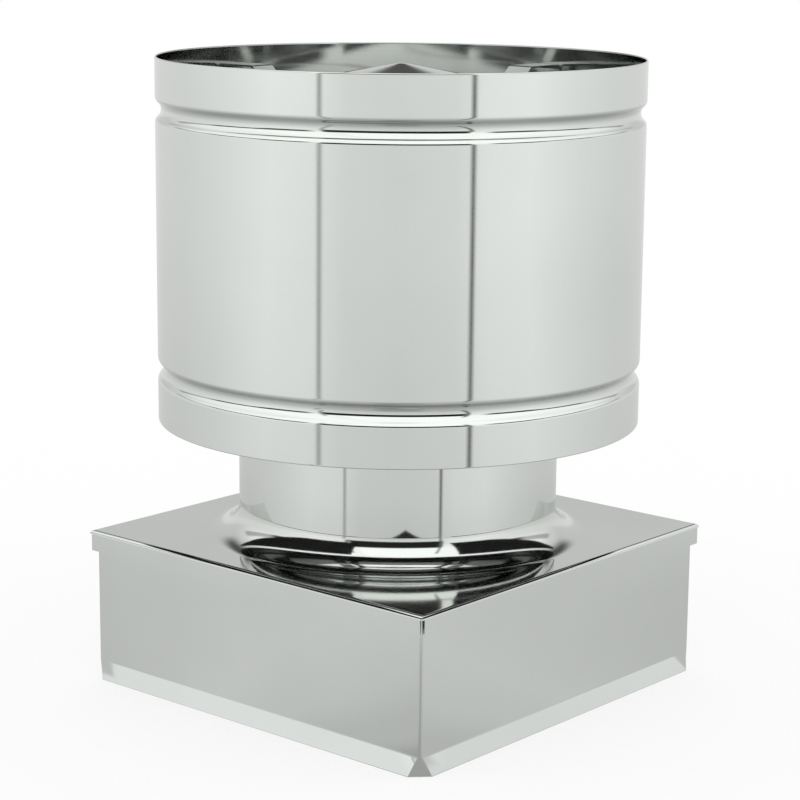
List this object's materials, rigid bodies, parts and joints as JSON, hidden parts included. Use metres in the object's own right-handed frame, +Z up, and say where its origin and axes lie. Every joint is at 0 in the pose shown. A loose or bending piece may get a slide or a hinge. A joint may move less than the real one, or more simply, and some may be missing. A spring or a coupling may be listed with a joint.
{
  "type": "chimney cowl",
  "caption": "Fixed windproof chimney cowl in bright stainless sheet: an open ribbed drum round a short neck, with a rain cone in its mouth, on a square base that drops over the chimney top.",
  "frame": {"origin": "centre of the square foot of the skirt, at the level of its lower edge", "axes": "+Z up along the axis of the neck and drum; X and Y along the sides of the square base"},
  "size_m": [0.33, 0.33, 0.432],
  "materials": {
    "bright_sheet": "bright annealed, close to a mirror",
    "strip_steel": "mill finish, satin"
  },
  "bodies": {
    "root": {"base_top_plate": "bright_sheet", "base_skirt": "bright_sheet", "neck_pipe": "bright_sheet", "outer_drum": "bright_sheet", "rain_cone": "bright_sheet", "deflector_cone": "bright_sheet", "drum_bracket_1": "strip_steel", "drum_bracket_2": "strip_steel", "drum_bracket_3": "strip_steel", "drum_bracket_4": "strip_steel", "cone_hanger_1": "strip_steel", "cone_hanger_2": "strip_steel", "cone_hanger_3": "strip_steel", "cone_hanger_4": "strip_steel"}
  },
  "joints": []
}
